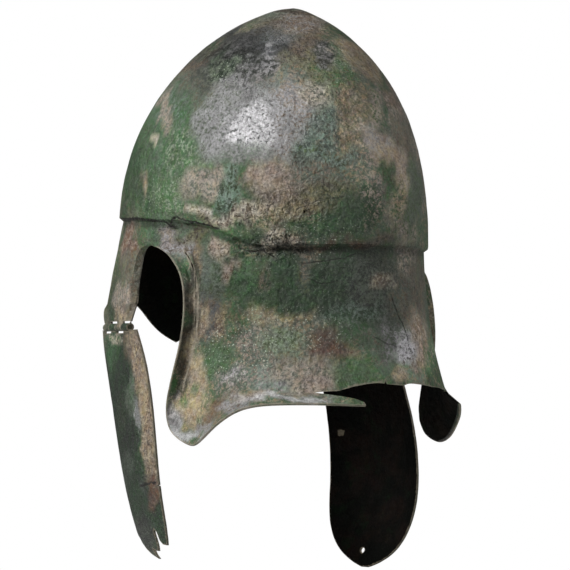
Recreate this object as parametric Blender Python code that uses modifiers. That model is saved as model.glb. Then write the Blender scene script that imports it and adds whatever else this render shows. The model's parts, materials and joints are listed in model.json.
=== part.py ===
# Bronze helmet with a ledged crown, ear openings, a neck guard and two hinged cheekpieces.
# Metres, +Z up. The face looks along -Y and the wearer's left is +X.
# The origin is the middle of the head opening, level with the ledge that runs round the skull.

import math

import bmesh
import bpy
from mathutils import Matrix, Vector

# Sheet and crown
WALL = 0.0013
HALF_WIDTH = 0.0855
FRONT_REACH = 0.108
BACK_REACH = 0.112
CROWN_RISE = 0.1330
CROWN_SHIFT = 0.026
CROWN_PEAK = 0.13
KEEL_RISE = 0.0016
KEEL_SPREAD = 0.010
LEAN = 0.125

# Powers of the crown's curve: its side, its closing over the top, its drawn-in tip and its shift
CROWN_SIDE = 1.9
CROWN_CLOSE = 0.52
TIP_POWER = 5
SHIFT_POWER = 1.5
KEEL_START = 2.5

# Ledge between the crown and the skirt
LEDGE_STEP = 0.0028
LEDGE_DROP = 0.0020
LEDGE_LIFT = 0.0044
LEDGE_FOOT = 0.0036

# Skirt: how far each stretch of the lower edge hangs below the ledge
NOSE_DROP = 0.0800
BROW_DROP = 0.0520
HINGE_DROP = 0.0665
EAR_DROP = 0.0120
NECK_DROP = 0.0873
LOBE_DROP = 0.1195
SKIRT_FLARE = 0.0135
LIP_OUT = 0.0074
LIP_WIDTH = 0.0052
FLANGE_WIDTH = 0.0013
LIP_ROOT = 0.0032
RIM_TURN = 0.2
COLUMN_TURN = 1.6

# Hinges
KNUCKLE_RADIUS = 0.0024
KNUCKLE_GAP = 0.0004
KNUCKLE_COUNT = 4
KNUCKLE_INSET = 0.0012
BORE_RADIUS = 0.00145
PIN_RADIUS = 0.0011
PIN_INSET = 0.0004
SHEET_EDGE = 0.0016
NOTCH_GAP = 0.0012

# How flat the hinge strip's last three rows are drawn, from the skirt down to the edge
STRIP_FLAT = (0.55, 0.85, 1.0)

# Cheekpieces
CHEEK_LENGTH = 0.1460
CHEEK_WIDTH = 0.0740
CHEEK_SWEEP = 0.0355
CHEEK_BOW = 0.0115
CHEEK_BULGE = 0.0062
CHEEK_TURN = 0.0060
TIE_HOLE_RADIUS = 0.0017
TIE_HOLE_RISE = 0.0100
TIE_HOLE_FORWARD = 0.0045

# Cutting tools
BORE_OVERRUN = 1.2
HOLE_CUT_LENGTH = 0.026
NAPE_CUT_START = 0.034

# Mesh fineness
CROWN_ROWS = 13
SKIRT_ROWS = 5
CHEEK_COLUMNS = 10
ROUND_SIDES = 16
MERGE = 0.00002
SHARP_ANGLE = 40

# The half section is widest this far behind the origin.
WIDEST_Y = (FRONT_REACH - BACK_REACH) / 2
MEAN_RADIUS = (HALF_WIDTH + FRONT_REACH + BACK_REACH) / 3
CREST = (0, WIDEST_Y + CROWN_SHIFT)

DROPS = {
    "ledge": LEDGE_DROP,
    "nose": NOSE_DROP,
    "brow": BROW_DROP,
    "hinge": HINGE_DROP - SHEET_EDGE,
    "ear": EAR_DROP,
    "neck": NECK_DROP,
    "lobe": LOBE_DROP,
}

# The lower edge of one half, from the nose round to the nape.
# top: degrees round from the face where the row leaves the ledge. edge: degrees where it ends.
# The end hangs between the drops named above and below, by share. lip: how far it turns out.
# sharp: 0 for a lip as wide as LIP_WIDTH, 1 for a flange that turns within FLANGE_WIDTH.
EDGE = [
    # top, edge, above, below, share, lip, sharp
    (0.0, 0.0, "brow", "nose", 1.00, 0.30, 0.0),
    (6.0, 6.5, "brow", "nose", 0.82, 0.30, 0.0),
    (11.5, 12.0, "brow", "nose", 0.55, 0.30, 0.0),
    (17.0, 17.5, "brow", "nose", 0.23, 0.30, 0.0),
    (23.0, 23.5, "brow", "nose", 0.04, 0.30, 0.0),
    (29.5, 30.5, "brow", "hinge", 0.00, 0.30, 0.0),
    (36.0, 38.0, "brow", "hinge", 0.04, 0.35, 0.0),
    (42.0, 44.5, "brow", "hinge", 0.22, 0.45, 0.0),
    (47.0, 49.5, "brow", "hinge", 0.62, 0.30, 0.0),
    (52.0, 53.5, "ear", "hinge", 1.000, 0.00, 0.0),
    (58.5, 63.0, "ear", "hinge", 0.963, 0.00, 0.0),
    (65.5, 72.5, "ear", "hinge", 0.925, 0.00, 0.0),
    (72.0, 81.5, "ear", "hinge", 0.887, 0.00, 0.0),
    (75.0, 80.0, "ear", "hinge", 0.64, -0.70, 0.9),
    (78.0, 79.8, "ear", "hinge", 0.36, -0.80, 1.0),
    (81.5, 81.3, "ear", "hinge", 0.14, -0.75, 1.0),
    (85.0, 84.8, "ear", "hinge", 0.03, -0.50, 0.9),
    (89.0, 90.0, "ear", "hinge", -0.02, -0.20, 0.6),
    (93.5, 96.0, "ear", "hinge", -0.01, 0.10, 0.4),
    (98.0, 103.0, "ear", "hinge", 0.03, 0.50, 0.8),
    (102.0, 108.5, "ear", "hinge", 0.11, 0.90, 1.0),
    (106.0, 112.3, "ear", "hinge", 0.26, 1.00, 1.0),
    (110.0, 114.0, "ear", "lobe", 0.27, 1.00, 1.0),
    (113.5, 113.5, "ear", "lobe", 0.44, 1.00, 1.0),
    (117.0, 110.5, "ear", "lobe", 0.62, 0.90, 1.0),
    (119.5, 106.8, "ear", "lobe", 0.78, 0.80, 0.8),
    (121.5, 105.4, "ear", "lobe", 0.88, 0.60, 0.4),
    (123.3, 106.6, "ear", "lobe", 0.95, 0.50, 0.1),
    (125.2, 110.2, "ear", "lobe", 0.985, 0.50, 0.0),
    (127.0, 114.2, "ear", "lobe", 1.000, 0.55, 0.0),
    (129.0, 118.2, "neck", "lobe", 1.01, 0.65, 0.0),
    (131.3, 121.8, "neck", "lobe", 0.87, 0.75, 0.0),
    (134.0, 125.6, "neck", "lobe", 0.65, 0.85, 0.0),
    (137.5, 129.8, "neck", "lobe", 0.43, 0.95, 0.0),
    (141.5, 134.2, "neck", "lobe", 0.24, 1.00, 0.0),
    (146.0, 139.6, "neck", "lobe", 0.12, 1.05, 0.0),
    (151.5, 146.0, "neck", "lobe", 0.06, 1.10, 0.0),
    (158.0, 154.0, "neck", "lobe", 0.02, 1.10, 0.0),
    (165.0, 162.5, "neck", "lobe", 0.00, 1.10, 0.0),
    (172.5, 171.0, "neck", "lobe", 0.00, 1.10, 0.0),
    (180.0, 180.0, "neck", "lobe", 0.00, 1.10, 0.0),
]
HINGE_FRONT = 9
HINGE_BACK = 12

# How far the skirt stands out, as a share of SKIRT_FLARE, and whether it does so late, near its
# lower edge, as the neck guard does, or early.
FLARE_ROUND = [
    # angle, out, late
    (0.0, 0.60, 0.0),
    (40.0, 0.72, 0.0),
    (54.0, 0.81, 0.0),
    (68.0, 0.58, 0.0),
    (81.5, 0.40, 0.0),
    (95.0, 0.38, 0.0),
    (105.0, 0.42, 0.0),
    (114.0, 0.52, 0.3),
    (122.0, 0.80, 0.8),
    (130.0, 1.00, 1.0),
    (145.0, 1.05, 1.0),
    (180.0, 1.00, 1.0),
]

# The same, down the skirt. depth is a share of NECK_DROP.
FLARE_DOWN = [
    # depth, early, late
    (0.00, 0.00, 0.00),
    (0.20, 0.33, 0.04),
    (0.45, 0.72, 0.18),
    (0.65, 0.95, 0.38),
    (0.80, 1.02, 0.60),
    (0.90, 1.04, 0.80),
    (1.00, 1.05, 1.00),
    (1.40, 1.05, 1.25),
]

# The ledge arches over the ears and dips behind them. lift is a share of LEDGE_LIFT.
LEDGE_WAVE = [
    # angle, lift
    (0, 0.00),
    (50, 0.10),
    (75, 0.70),
    (95, 1.15),
    (115, 1.40),
    (124, 0.60),
    (131, -0.25),
    (139, -0.75),
    (150, -0.30),
    (167, 0.15),
    (180, 0.25),
]

# Sections of a cheekpiece. depth is a share of CHEEK_LENGTH below the hinge's axis, and the others
# are shares of CHEEK_SWEEP, CHEEK_WIDTH, CHEEK_BOW, CHEEK_BULGE and CHEEK_TURN.
CHEEK = [
    # depth, sweep, width, bow, bulge, turn
    (0.000, 0.10, 0.930, 0.00, 0.00, 0.00),
    (0.070, 0.22, 0.950, -0.06, 0.25, -0.35),
    (0.160, 0.40, 0.980, -0.13, 0.50, -0.45),
    (0.290, 0.61, 1.005, -0.20, 0.77, -0.35),
    (0.430, 0.77, 1.015, -0.27, 0.92, -0.10),
    (0.570, 0.87, 1.010, -0.40, 0.95, 0.15),
    (0.680, 0.92, 0.995, -0.60, 0.93, 0.30),
    (0.760, 0.94, 0.965, -0.80, 0.86, 0.35),
    (0.835, 0.95, 0.885, -1.01, 0.70, 0.35),
    (0.900, 0.96, 0.745, -1.19, 0.48, 0.30),
    (0.950, 0.97, 0.535, -1.31, 0.26, 0.20),
    (0.985, 0.97, 0.270, -1.39, 0.10, 0.05),
    (1.000, 0.97, 0.090, -1.42, 0.00, 0.00),
]

# The left cheekpiece's broken foot, across from the plate's middle as a share of CHEEK_WIDTH,
# down as a share of CHEEK_LENGTH.
BROKEN_FOOT = [
    (-0.90, 0.820), (-0.42, 0.834), (-0.25, 0.866), (-0.08, 0.895), (0.04, 0.911), (0.17, 0.924),
    (0.13, 0.906), (0.12, 0.883), (0.16, 0.890), (0.215, 0.891), (0.24, 0.868), (0.245, 0.812),
    (0.27, 0.803), (0.30, 0.812), (0.315, 0.846), (0.355, 0.860), (0.42, 0.862), (0.90, 0.856),
    (0.90, 1.200), (-0.90, 1.200),
]
EDGE_CRACK = [(0.70, 0.586), (0.42, 0.634), (0.70, 0.602)]

# The torn nape seen from behind: across as a share of HALF_WIDTH, down as a share of NECK_DROP.
TORN_NAPE = [
    (0.470, 1.104), (0.40, 1.096), (0.32, 1.094), (0.21, 1.066), (0.11, 1.049), (0.03, 1.042),
    (-0.025, 1.046), (-0.035, 1.020), (-0.05, 1.050), (-0.13, 1.056), (-0.19, 1.060), (-0.24, 1.045),
    (-0.32, 1.050), (-0.42, 1.058), (-0.53, 1.071), (-0.62, 1.074), (-0.70, 1.086), (-0.78, 1.098),
    (-0.80, 1.740), (0.22, 1.740), (0.20, 1.165), (0.235, 1.142),
    (0.33, 1.126), (0.41, 1.113),
]


def along(table, at, column):
    """A column of a table at a value of its first column, on one smooth curve."""
    last = len(table) - 1
    at = max(table[0][0], min(table[-1][0], at))
    i = max(k for k in range(last) if table[k][0] <= at)
    left, right = table[i], table[i + 1]
    run = right[0] - left[0]

    def slope(k):
        before, after = table[max(k - 1, 0)], table[min(k + 1, last)]
        return (after[column] - before[column]) / (after[0] - before[0])

    t = (at - left[0]) / run
    start = (1 + 2 * t) * (1 - t) ** 2 * left[column] + t * (1 - t) ** 2 * run * slope(i)
    end = t * t * (3 - 2 * t) * right[column] + t * t * (t - 1) * run * slope(i + 1)
    return start + end


def plan(degrees, half_width, front, back):
    """A point of a half section, and its outward direction, measured round from the face."""
    turn = math.radians(degrees)
    reach = front if degrees < 90 else back
    point = Vector((half_width * math.sin(turn), WIDEST_Y - reach * math.cos(turn), 0))
    outward = Vector((reach * math.sin(turn), -half_width * math.cos(turn), 0)).normalized()
    return point, outward


def leaning(point, height):
    """Puts a plan point at a height above the ledge's plane, which leans down to the nape."""
    return Vector((point.x, point.y, height - LEAN * point.y))


def ledge_height(degrees):
    return LEDGE_LIFT * along(LEDGE_WAVE, degrees, 1)


def crown_point(degrees, rise):
    """A point of the crown, at a share of its rise."""
    full = (1 - rise**CROWN_SIDE) ** CROWN_CLOSE * (1 - CROWN_PEAK * rise**TIP_POWER)
    point, outward = plan(degrees, HALF_WIDTH * full, FRONT_REACH * full, BACK_REACH * full)
    point.y += CROWN_SHIFT * rise**SHIFT_POWER
    keel = KEEL_RISE * math.exp(-((point.x / KEEL_SPREAD) ** 2)) * min(1, KEEL_START * rise)
    height = CROWN_RISE * rise + ledge_height(degrees) * (1 - rise) ** 2
    return leaning(point + outward * keel * (1 - rise), height + keel * rise)


def skirt_point(degrees, height, lip=0.0):
    """A point of the skirt at a height below the ledge, moved outwards by lip."""
    depth = -height / NECK_DROP
    early, late = along(FLARE_DOWN, depth, 1), along(FLARE_DOWN, depth, 2)
    profile = early + (late - early) * along(FLARE_ROUND, degrees, 2)
    flare = SKIRT_FLARE * along(FLARE_ROUND, degrees, 1) * profile
    reaches = (size - LEDGE_STEP for size in (HALF_WIDTH, FRONT_REACH, BACK_REACH))
    point, outward = plan(degrees, *reaches)
    return leaning(point + outward * (flare + lip), height)


def edge_place(row):
    """Where a row of EDGE ends: degrees round, and height below the ledge's plane."""
    _, degrees, above, below, share, _, _ = EDGE[row]
    return degrees, -(DROPS[above] + (DROPS[below] - DROPS[above]) * share)


def inside_edge(row, distance):
    """A place that far in from the edge, square to it on the unrolled skirt."""
    degrees, height = edge_place(row)
    last = len(EDGE) - 1
    before = edge_place(max(row - 1, 0))
    after = edge_place(min(row + 1, last))
    arc = MEAN_RADIUS * math.radians(after[0] - before[0])
    rise = after[1] - before[1]
    if row in (0, last):
        rise = 0
    size = math.hypot(arc, rise)
    return degrees - math.degrees(distance * rise / size / MEAN_RADIUS), height + distance * arc / size


def hinge_ends():
    """The front and back ends of the left hinge's axis, on the skirt's middle surface."""
    ends = []
    for row in (HINGE_FRONT, HINGE_BACK):
        degrees, height = edge_place(row)
        ends.append(skirt_point(degrees, height - SHEET_EDGE, -WALL / 2))
    return ends


def hinge_frame():
    """Origin and directions of the left hinge: back along its axis, outwards, and down."""
    front, back = hinge_ends()
    axis = (back - front).normalized()
    outward = Vector((axis.y, -axis.x, 0)).normalized()
    down = axis.cross(outward)
    if down.z > 0:
        down.negate()
    return (front + back) / 2, axis, outward, down


def flattened(point, amount):
    """Draws a point of the hinge strip towards the upright plane of the hinge's axis."""
    origin, _, outward, _ = hinge_frame()
    away = (point - origin).dot(outward) - WALL / 2
    return point - outward * away * amount


def skull_column(row):
    """Points down one column of the left half, from the crown's first row to the lower edge."""
    top, _, _, _, _, lip_share, sharp = EDGE[row]
    lip = LIP_OUT * lip_share
    width = LIP_WIDTH + (FLANGE_WIDTH - LIP_WIDTH) * sharp
    points = []
    for step in range(1, CROWN_ROWS + 1):
        points.append(crown_point(top, math.sin(math.radians(90 * (1 - step / CROWN_ROWS)))))
    lift = ledge_height(top)
    points.append(skirt_point(top, lift - LEDGE_DROP))
    inner = inside_edge(row, width + LIP_ROOT)
    start = lift - LEDGE_FOOT
    for step in range(SKIRT_ROWS):
        share = step / SKIRT_ROWS
        degrees = top + (inner[0] - top) * share**COLUMN_TURN
        height = start + (inner[1] - start) * share
        points.append(skirt_point(degrees, height))
    rim = inside_edge(row, width)
    on_hinge = HINGE_FRONT <= row <= HINGE_BACK
    ends = ((inner, 0.0), (rim, RIM_TURN), (edge_place(row), 1.0))
    for (place, turned), flat in zip(ends, STRIP_FLAT):
        point = skirt_point(place[0], place[1], lip * turned)
        points.append(flattened(point, flat) if on_hinge else point)
    return points


def mesh_object(name, points, faces, collection):
    mesh = bpy.data.meshes.new(name)
    mesh.from_pydata(points, [], faces)
    obj = bpy.data.objects.new(name, mesh)
    collection.objects.link(obj)
    return obj


def strip_faces(columns, rows):
    """Quads between neighbouring columns of points that are listed one column after another."""
    faces = []
    for i in range(columns - 1):
        for j in range(rows - 1):
            a = i * rows + j
            faces.append((a, a + 1, a + rows + 1, a + rows))
    return faces


def add_solidify(obj, thickness):
    wall = obj.modifiers.new("Wall", "SOLIDIFY")
    wall.thickness = thickness
    wall.offset = -1
    wall.use_even_offset = False
    wall.use_quality_normals = True


def add_boolean(obj, tool, operation):
    cut = obj.modifiers.new(operation.title() + " " + tool.name, "BOOLEAN")
    cut.operation = operation
    cut.object = tool
    cut.solver = "EXACT"


def make_skull(collection):
    """The one-piece bowl: crown, ledge, brow, hinge strips, lobes and neck guard."""
    points = []
    for row in range(len(EDGE)):
        points.extend(skull_column(row))
    rows = len(points) // len(EDGE)
    for i in (0, len(EDGE) - 1):
        for j in range(rows):
            points[i * rows + j].x = 0
    faces = strip_faces(len(EDGE), rows)
    apex = leaning(Vector((*CREST, 0)), CROWN_RISE + KEEL_RISE)
    points.append(apex)
    for i in range(len(EDGE) - 1):
        faces.append((len(points) - 1, i * rows, (i + 1) * rows))
    skull = mesh_object("skull", points, faces, collection)
    mirror = skull.modifiers.new("Right half", "MIRROR")
    mirror.merge_threshold = MERGE
    add_solidify(skull, WALL)
    return skull


def cheek_place(across, depth, mirrored):
    """A point of a cheekpiece: across from -0.5 at the front to 0.5, depth as a share."""
    origin, axis, outward, down = hinge_frame()
    width = CHEEK_WIDTH * along(CHEEK, depth, 2)
    back = CHEEK_SWEEP * along(CHEEK, depth, 1) + width * across
    bulge = CHEEK_BULGE * along(CHEEK, depth, 4) * (1 - 4 * across * across)
    turn = CHEEK_TURN * along(CHEEK, depth, 5) * across
    out = CHEEK_BOW * along(CHEEK, depth, 3) + bulge + turn + WALL / 2
    fall = SHEET_EDGE + (CHEEK_LENGTH - SHEET_EDGE) * depth
    point = origin + axis * back + outward * out + down * fall
    return Vector((-point.x, point.y, point.z)) if mirrored else point


def make_cheekpiece(name, mirrored, collection):
    """A tongue of sheet, bowed down its length and round across it."""
    points = []
    for i in range(CHEEK_COLUMNS + 1):
        across = i / CHEEK_COLUMNS - 0.5
        for row in CHEEK:
            points.append(cheek_place(across, row[0], mirrored))
    faces = strip_faces(CHEEK_COLUMNS + 1, len(CHEEK))
    if mirrored:
        faces = [tuple(reversed(face)) for face in faces]
    cheek = mesh_object(name, points, faces, collection)
    add_solidify(cheek, WALL)
    return cheek


def rod(name, centre, direction, radius, length, collection, sides=ROUND_SIDES):
    bpy.ops.mesh.primitive_cylinder_add(vertices=sides, radius=radius, depth=length)
    obj = bpy.context.object
    obj.name = name
    turn = Vector((0, 0, 1)).rotation_difference(direction)
    obj.data.transform(Matrix.Translation(centre) @ turn.to_matrix().to_4x4())
    for holder in list(obj.users_collection):
        holder.objects.unlink(obj)
    collection.objects.link(obj)
    return obj


def helper(obj):
    obj.hide_render = True
    obj.display_type = "WIRE"
    return obj


def side_of(vector, mirrored):
    return Vector((-vector.x, vector.y, vector.z)) if mirrored else vector.copy()


def knuckle_spans():
    """The length of a knuckle, and where each one's middle lies from the hinge's middle."""
    front, back = hinge_ends()
    room = (back - front).length - 2 * KNUCKLE_INSET
    pitch = (room + KNUCKLE_GAP) / KNUCKLE_COUNT
    middle = (KNUCKLE_COUNT - 1) / 2
    return pitch - KNUCKLE_GAP, [pitch * (i - middle) for i in range(KNUCKLE_COUNT)]


def fit_hinge(side, mirrored, skull, cheek, parts, tools):
    """Notches both edges, rolls the knuckles on them in turn, and runs a pin through."""
    origin, axis, _, _ = hinge_frame()
    middle, along_axis = side_of(origin, mirrored), side_of(axis, mirrored)
    length, spans = knuckle_spans()
    notch_length = length + 3 * KNUCKLE_GAP
    for i, span in enumerate(spans):
        other = cheek if i % 2 == 0 else skull
        place = middle + along_axis * span
        radius = KNUCKLE_RADIUS + NOTCH_GAP
        notch = rod(f"notch_{side}_{i}", place, along_axis, radius, notch_length, tools)
        add_boolean(other, helper(notch), "DIFFERENCE")
    for i, span in enumerate(spans):
        owner = skull if i % 2 == 0 else cheek
        place = middle + along_axis * span
        knuckle = rod(f"knuckle_{side}_{i}", place, along_axis, KNUCKLE_RADIUS, length, tools)
        add_boolean(owner, helper(knuckle), "UNION")
    run = spans[-1] - spans[0] + length
    bore = rod(f"bore_{side}", middle, along_axis, BORE_RADIUS, run * BORE_OVERRUN, tools)
    for owner in (skull, cheek):
        add_boolean(owner, helper(bore), "DIFFERENCE")
    return rod(f"hinge_pin_{side}", middle, along_axis, PIN_RADIUS, run - 2 * PIN_INSET, parts)


def outline_cutter(name, corners, place, tools):
    """A slab from an outline. place turns a corner and a depth of -1 or 1 into a point."""
    points = [place(corner, side) for side in (-1, 1) for corner in corners]
    count = len(corners)
    faces = [tuple(range(count)), tuple(reversed(range(count, 2 * count)))]
    for i in range(count):
        j = (i + 1) % count
        faces.append((j, i, count + i, count + j))
    cutter = mesh_object(name, points, faces, tools)
    shape = bmesh.new()
    shape.from_mesh(cutter.data)
    bmesh.ops.recalc_face_normals(shape, faces=shape.faces)
    shape.to_mesh(cutter.data)
    shape.free()
    return helper(cutter)


def cheek_cutter(name, corners, tools):
    """A slab square to the left cheekpiece, its outline in shares of the plate."""
    origin, axis, outward, down = hinge_frame()

    def place(corner, side):
        depth = min(corner[1], 1)
        back = CHEEK_SWEEP * along(CHEEK, depth, 1) + CHEEK_WIDTH * corner[0]
        fall = CHEEK_LENGTH * corner[1]
        return origin + axis * back + down * fall + outward * side * (CHEEK_BOW + 3 * CHEEK_BULGE)

    return outline_cutter(name, corners, place, tools)


def nape_cutter(tools):
    """A slab that tears the nape's lip away, and leaves a tongue of it at the left."""
    near = WIDEST_Y + NAPE_CUT_START
    far = WIDEST_Y + BACK_REACH + 2 * SKIRT_FLARE + 2 * LIP_OUT

    def place(corner, side):
        return Vector((HALF_WIDTH * corner[0], near if side < 0 else far, -NECK_DROP * corner[1]))

    return outline_cutter("torn_nape", TORN_NAPE, place, tools)


def hang_on_hinge(cheek, mirrored):
    """Puts a cheekpiece's origin on its hinge's axis."""
    middle = side_of(hinge_frame()[0], mirrored)
    cheek.data.transform(Matrix.Translation(-middle))
    cheek.location = middle


def bronze(name, colour, roughness, metallic):
    material = bpy.data.materials.new(name)
    material.use_nodes = True
    shader = material.node_tree.nodes["Principled BSDF"]
    shader.inputs["Base Color"].default_value = (*colour, 1)
    shader.inputs["Roughness"].default_value = roughness
    shader.inputs["Metallic"].default_value = metallic
    return material


def finish(obj, material):
    obj.data.materials.append(material)
    obj.data.shade_smooth()
    obj.data.set_sharp_from_angle(angle=math.radians(SHARP_ANGLE))


def cut_cheek(cheek, tools):
    """The left foot is broken into fingers, and its back edge is cracked."""
    add_boolean(cheek, cheek_cutter("broken_foot", BROKEN_FOOT, tools), "DIFFERENCE")
    add_boolean(cheek, cheek_cutter("edge_crack", EDGE_CRACK, tools), "DIFFERENCE")


def tie_hole(cheek, tools):
    """The hole for the chin lace, near the right cheekpiece's foot."""
    _, axis, outward, _ = hinge_frame()
    place = cheek_place(0, 1 - TIE_HOLE_RISE / CHEEK_LENGTH, True)
    place -= side_of(axis, True) * TIE_HOLE_FORWARD
    through = rod("lace_hole", place, side_of(outward, True), TIE_HOLE_RADIUS, HOLE_CUT_LENGTH, tools)
    add_boolean(cheek, helper(through), "DIFFERENCE")


def main():
    for obj in list(bpy.data.objects):
        bpy.data.objects.remove(obj)
    parts = bpy.data.collections.new("Helmet")
    tools = bpy.data.collections.new("Cutters")
    for collection in (parts, tools):
        bpy.context.scene.collection.children.link(collection)

    skull_bronze = bronze("skull bronze", (0.20, 0.25, 0.17), 0.45, 0.6)
    cheek_bronze = bronze("cheek bronze", (0.13, 0.17, 0.11), 0.5, 0.6)
    pin_bronze = bronze("pin bronze", (0.16, 0.12, 0.08), 0.5, 0.7)

    skull = make_skull(parts)
    left = make_cheekpiece("cheekpiece_left", False, parts)
    right = make_cheekpiece("cheekpiece_right", True, parts)
    hang_on_hinge(left, False)
    hang_on_hinge(right, True)
    cut_cheek(left, tools)
    tie_hole(right, tools)
    left_pin = fit_hinge("left", False, skull, left, parts, tools)
    right_pin = fit_hinge("right", True, skull, right, parts, tools)
    add_boolean(skull, nape_cutter(tools), "DIFFERENCE")

    finish(skull, skull_bronze)
    for cheek in (left, right):
        finish(cheek, cheek_bronze)
    for pin in (left_pin, right_pin):
        finish(pin, pin_bronze)


main()
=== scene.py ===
import json
import math

import bpy
import numpy as np
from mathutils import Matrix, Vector, kdtree, noise

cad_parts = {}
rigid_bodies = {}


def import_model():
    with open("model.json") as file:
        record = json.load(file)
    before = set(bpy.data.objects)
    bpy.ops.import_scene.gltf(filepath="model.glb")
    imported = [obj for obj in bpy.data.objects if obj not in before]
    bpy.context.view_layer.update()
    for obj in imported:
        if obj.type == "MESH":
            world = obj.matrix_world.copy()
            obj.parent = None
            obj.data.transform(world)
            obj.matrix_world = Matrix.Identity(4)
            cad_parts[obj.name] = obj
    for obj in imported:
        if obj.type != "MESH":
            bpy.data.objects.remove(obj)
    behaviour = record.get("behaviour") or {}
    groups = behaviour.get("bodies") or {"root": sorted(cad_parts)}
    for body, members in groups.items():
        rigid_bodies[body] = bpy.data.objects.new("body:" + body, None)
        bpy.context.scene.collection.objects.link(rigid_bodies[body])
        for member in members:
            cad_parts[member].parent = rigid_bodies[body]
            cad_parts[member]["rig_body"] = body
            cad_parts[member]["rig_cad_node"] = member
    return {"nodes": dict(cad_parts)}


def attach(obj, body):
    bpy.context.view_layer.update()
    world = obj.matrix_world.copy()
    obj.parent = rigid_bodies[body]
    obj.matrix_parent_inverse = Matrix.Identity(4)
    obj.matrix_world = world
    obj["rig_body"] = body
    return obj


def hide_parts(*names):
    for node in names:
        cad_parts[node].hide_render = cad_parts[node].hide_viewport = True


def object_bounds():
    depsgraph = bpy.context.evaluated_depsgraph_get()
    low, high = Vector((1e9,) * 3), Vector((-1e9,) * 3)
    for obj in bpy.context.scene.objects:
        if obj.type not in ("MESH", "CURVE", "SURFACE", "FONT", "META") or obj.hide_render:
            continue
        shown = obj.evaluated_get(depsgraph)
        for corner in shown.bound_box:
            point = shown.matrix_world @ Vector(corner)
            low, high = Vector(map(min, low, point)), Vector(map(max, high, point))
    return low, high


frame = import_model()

noise.seed_set(5)  # or noise_vector would follow the clock
cadBox = [list(corner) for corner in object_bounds()]
scene = bpy.context.scene
scene.view_settings.view_transform = "Standard"

# camera: behind the left ear opening and a little low
cameraPlan = {"turn": 148, "rise": -2, "distance": 1.6, "pixelsPerMetre": 1667, "imagePixels": 570,
              "aimAcross": 0.0078, "aimHeight": -0.0325}
turn, rise = math.radians(cameraPlan["turn"]), math.radians(cameraPlan["rise"])
acrossView = Vector((math.cos(turn), math.sin(turn), 0))
towardCamera = Vector((math.sin(turn) * math.cos(rise), -math.cos(turn) * math.cos(rise), math.sin(rise)))
upView = towardCamera.cross(acrossView)
aimPoint = acrossView * cameraPlan["aimAcross"] + Vector((0, 0, cameraPlan["aimHeight"]))
cameraPlace = aimPoint + towardCamera * cameraPlan["distance"]

bpy.ops.object.select_all(action="DESELECT")
bpy.ops.object.camera_add(location=cameraPlace)
camera = bpy.context.object
camera.name = "photoCamera"
camera.rotation_mode = "QUATERNION"
camera.rotation_quaternion = towardCamera.to_track_quat("Z", "Y")
camera.data.sensor_width = 36
camera.data.lens = 36 * cameraPlan["distance"] * cameraPlan["pixelsPerMetre"] / cameraPlan["imagePixels"]
scene.camera = camera


def seenAt(u, v):
    # the place and outward direction of the surface behind a pixel of the 570 pixel image
    middle = cameraPlan["imagePixels"] / 2
    pixels = cameraPlan["pixelsPerMetre"]
    ray = acrossView * ((u - middle) / pixels) + upView * ((middle - v) / pixels)
    ray = (ray - towardCamera * cameraPlan["distance"]).normalized()
    graph = bpy.context.evaluated_depsgraph_get()
    hit, place, normal, _, _, _ = scene.ray_cast(graph, cameraPlace, ray)
    if not hit:
        raise ValueError(f"nothing lies behind pixel {u}, {v}")
    return place, normal if normal.dot(ray) < 0 else -normal


# stage: pale floor, soft light
stagePlan = {"floorDrop": 0.36, "floorWidth": 3.2, "floorTone": (0.72, 0.72, 0.71), "floorFade": (0.25, 1.25),
             "keyDirection": (0.838, 0.048, 0.543), "keyDistance": 1.35, "keySize": 0.36, "keyPower": 21.0,
             "fillDirection": (0.15, 0.95, 0.25), "fillDistance": 2.2, "fillSize": 1.6, "fillPower": 5.0,
             "sideDirection": (-0.80, 0.50, 0.33), "sideDistance": 2.0, "sideSize": 0.8, "sidePower": 10.0,
             "skyGrey": 0.11}

bpy.ops.mesh.primitive_grid_add(x_subdivisions=4, y_subdivisions=4, size=stagePlan["floorWidth"],
                                location=(0, 0, -stagePlan["floorDrop"]))
floor = bpy.context.object
floor.name = "paperFloor"
floorPaper = bpy.data.materials.new("floorPaper")  # pale in the middle, white far out
floorPaper.use_nodes = True
floorNodes, floorLinks = floorPaper.node_tree.nodes, floorPaper.node_tree.links
floorShader = floorNodes["Principled BSDF"]
floorShader.inputs["Base Color"].default_value = (*stagePlan["floorTone"], 1)
floorShader.inputs["Roughness"].default_value = 0.9
floorShader.inputs["Emission Color"].default_value = (1, 1, 1, 1)
floorAway = floorNodes.new("ShaderNodeVectorMath")
floorAway.operation = "LENGTH"
floorLinks.new(floorNodes.new("ShaderNodeTexCoord").outputs["Object"], floorAway.inputs[0])
floorFade = floorNodes.new("ShaderNodeMapRange")
floorFade.interpolation_type = "SMOOTHSTEP"
floorFade.inputs["From Min"].default_value, floorFade.inputs["From Max"].default_value = stagePlan["floorFade"]
floorLinks.new(floorAway.outputs["Value"], floorFade.inputs["Value"])
floorSeen = floorNodes.new("ShaderNodeMath")
floorSeen.operation = "MULTIPLY"
floorLinks.new(floorFade.outputs["Result"], floorSeen.inputs[0])
floorLinks.new(floorNodes.new("ShaderNodeLightPath").outputs["Is Camera Ray"], floorSeen.inputs[1])
floorLinks.new(floorSeen.outputs[0], floorShader.inputs["Emission Strength"])
floor.data.materials.append(floorPaper)

for part in ("key", "fill", "side"):
    direction = Vector(stagePlan[part + "Direction"]).normalized()
    bpy.ops.object.light_add(type="AREA", location=aimPoint + direction * stagePlan[part + "Distance"])
    lamp = bpy.context.object
    lamp.name = part + "Light"
    lamp.rotation_mode = "QUATERNION"
    lamp.rotation_quaternion = direction.to_track_quat("Z", "Y")
    lamp.data.shape = "SQUARE"
    lamp.data.size = stagePlan[part + "Size"]
    lamp.data.energy = stagePlan[part + "Power"]

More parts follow.
